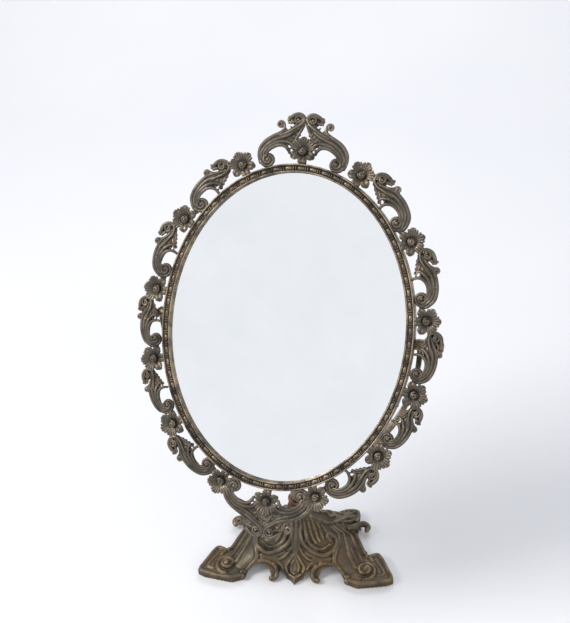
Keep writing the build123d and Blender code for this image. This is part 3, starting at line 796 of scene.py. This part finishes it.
    # front foot plates: a rolled border that hooks in at the heel, a volute and a leaf tip
    both_sides([(51, -46.2, 6.2, 1.9), (60, -49.0, 6.2, 2.0), (72, -48.0, 6.2, 2.0),
                (84, -44.6, 6.2, 2.1), (89.4, -41.2, 6.0, 2.1), (86, -31.6, 6.2, 2.0),
                (78.4, -15.6, 6.6, 2.0), (73.4, -14.8, 7.2, 2.0), (69.4, -18.2, 7.6, 1.9),
                (71.6, -21.8, 7.6, 1.7)])
    both_sides([(77.4, -40.2, 6.9, 1.2), (82.8, -37.6, 6.9, 1.3), (80.6, -30.6, 6.9, 1.3),
                (76, -23, 7.0, 1.1)])
    for side in (-1, 1):
        curl = spiral((65.5, -35), -95, 1.45, 10.8, 3.0, 7.0, 2.1, 1.5, 3.6)
        curl[:, 0] *= side
        casting.stroke(curl, steps=0)
        casting.ball((side * 65.5, -35, 9.6), (2.9, 2.9, 2.6))
        casting.ball((side * 65.5, -34, 6.0), (10, 9, 3.2))
    # back foot plates: border and fanned leaf
    both_sides([(36.4, 39, 6.4, 1.6), (44.4, 42.4, 6.6, 1.8), (53, 42.8, 6.6, 1.8),
                (55.6, 40.4, 6.6, 1.8), (56.4, 33, 6.8, 1.8), (54.6, 27.6, 8.2, 1.6)])
    for tip in ((42, 39.6), (47, 41), (51.6, 40), (53.4, 35)):
        both_sides([(42.6, 27, 12.6, 1.5), ((42.6 + tip[0]) / 2, (27 + tip[1]) / 2, 9.8, 1.9),
                    (*tip, 7.6, 1.5)])
    return casting.fuse("base", 0.72, 1)


def build_base():
    mesh = base_relief()
    for vert in mesh.vertices:
        vert.co.z = max(vert.co.z, 0.0)
    place(mesh, "base_relief", TABLE, "base", ["base_casting"], BASE_BRASS)
    bpy.data.meshes.remove(mesh)


# ---------------------------------------------------------------- stage
def build_stage():
    """Pale table running into a pale backdrop, soft daylight from the upper left."""
    mesh = bpy.data.meshes.new("table")
    rows = [(-2.2, 0.0), (1.0, 0.0)]
    rows += [(1.0 + 0.6 * sin(a), 0.6 - 0.6 * cos(a)) for a in np.linspace(0.1, pi / 2, 12)]
    rows += [(1.6, 2.6)]
    points = [(x, y, z) for y, z in rows for x in (-2.6, 2.6)]
    faces = [(2 * i, 2 * i + 1, 2 * i + 3, 2 * i + 2) for i in range(len(rows) - 1)]
    mesh.from_pydata(points, [], faces)
    for face in mesh.polygons:
        face.use_smooth = True
    floor = bpy.data.objects.new("table", mesh)
    bpy.context.collection.objects.link(floor)
    material, nodes, links = new_material("pale_table")
    shader = nodes["Principled BSDF"]
    coords = nodes.new("ShaderNodeTexCoord").outputs["Object"]
    cloud = add_noise(nodes, links, coords, 2.0, 2.0)
    tone = nodes.new("ShaderNodeValToRGB")
    set_ramp(tone, [(0.3, (0.74, 0.75, 0.785)), (0.7, (0.78, 0.785, 0.81))])
    links.new(cloud, tone.inputs[0])
    links.new(tone.outputs[0], shader.inputs["Base Color"])
    shader.inputs["Roughness"].default_value = 0.55
    seen = nodes.new("ShaderNodeLightPath")
    direct = nodes.new("ShaderNodeMath")
    direct.operation = "MAXIMUM"
    links.new(seen.outputs["Is Camera Ray"], direct.inputs[0])
    links.new(seen.outputs["Is Glossy Ray"], direct.inputs[1])
    glow = nodes.new("ShaderNodeEmission")
    glow.inputs["Color"].default_value = (0.93, 0.94, 1.0, 1)
    lift = nodes.new("ShaderNodeMath")
    lift.operation = "MULTIPLY"
    lift.inputs[1].default_value = 0.08
    links.new(direct.outputs[0], lift.inputs[0])
    links.new(lift.outputs[0], glow.inputs["Strength"])
    both = nodes.new("ShaderNodeAddShader")
    links.new(shader.outputs[0], both.inputs[0])
    links.new(glow.outputs[0], both.inputs[1])
    links.new(both.outputs[0], nodes["Material Output"].inputs["Surface"])
    floor.data.materials.append(material)


def area_light(name, spot, target, size, power, colour):
    data = bpy.data.lights.new(name, "AREA")
    data.shape = "RECTANGLE"
    data.size, data.size_y = size
    data.energy = power
    data.color = colour
    lamp = bpy.data.objects.new(name, data)
    bpy.context.collection.objects.link(lamp)
    lamp.location = spot
    lamp.rotation_euler = (Vector(target) - Vector(spot)).to_track_quat("-Z", "Y").to_euler()


def build_lights():
    area_light("window", (-1.3, -0.5, 1.5), (0, 0, 0.2), (0.8, 0.9), 27, (1.0, 0.985, 0.96))
    area_light("room", (1.3, -1.2, 1.1), (0, 0, 0.2), (1.2, 1.2), 7, (1.0, 0.98, 0.95))
    area_light("behind", (0.2, 1.3, 1.4), (0, 0, 0.3), (1.4, 0.6), 7, (0.97, 0.98, 1.0))
    world = bpy.data.worlds.new("daylight")
    bpy.context.scene.world = world
    world.use_nodes = True
    nodes, links = world.node_tree.nodes, world.node_tree.links
    sky = nodes["Background"]
    sky.inputs["Color"].default_value = (0.93, 0.945, 0.98, 1)
    seen = nodes.new("ShaderNodeLightPath")
    direct = nodes.new("ShaderNodeMath")
    direct.operation = "MAXIMUM"
    links.new(seen.outputs["Is Camera Ray"], direct.inputs[0])
    links.new(seen.outputs["Is Glossy Ray"], direct.inputs[1])
    level = nodes.new("ShaderNodeMapRange")
    level.inputs["To Min"].default_value = 0.56
    level.inputs["To Max"].default_value = 0.95
    links.new(direct.outputs[0], level.inputs["Value"])
    links.new(level.outputs[0], sky.inputs["Strength"])


def build_camera():
    """The photograph's point of view: above, a little to the right, and slightly rolled."""
    turn, climb, roll = radians(7.855), radians(33.449), radians(-3.202)
    back = Vector((sin(turn) * cos(climb), -cos(turn) * cos(climb), sin(climb)))
    right = Vector((cos(turn), sin(turn), 0))
    up = right.cross(-back)
    level = cos(roll) * right + sin(roll) * up
    upright = -sin(roll) * right + cos(roll) * up
    data = bpy.data.cameras.new("camera")
    data.sensor_fit = "AUTO"
    data.sensor_width = 36
    data.lens = 57.78
    camera = bpy.data.objects.new("camera", data)
    bpy.context.collection.objects.link(camera)
    turned = Matrix((level, upright, back)).transposed().to_4x4()
    place_of_view = STAND + Vector((0.0926, -0.6792, 0.7256))
    camera.matrix_world = Matrix.Translation(place_of_view) @ turned
    bpy.context.scene.camera = camera
    bpy.context.scene.view_settings.view_transform = "Standard"


# ---------------------------------------------------------------- CAD parts that stay
def finish_cad_parts():
    looks = {"mirror_glass": GLASS, "backing_card": BOARD, "back_plate": LACQUER,
             "retaining_clips": STEEL, "clip_screws": STEEL, "tie_bolt": STEEL,
             "tie_washer": STEEL, "stem_collar": COPPER}
    for name, node in frame["nodes"].items():
        node.data.materials.clear()
        node.data.materials.append(looks.get(name, SMOOTH_BRASS))


build_camera()
build_stage()
build_lights()
finish_cad_parts()
hang_flowers()
hang_scrolls()
build_rim()
build_base()

bpy.context.view_layer.update()
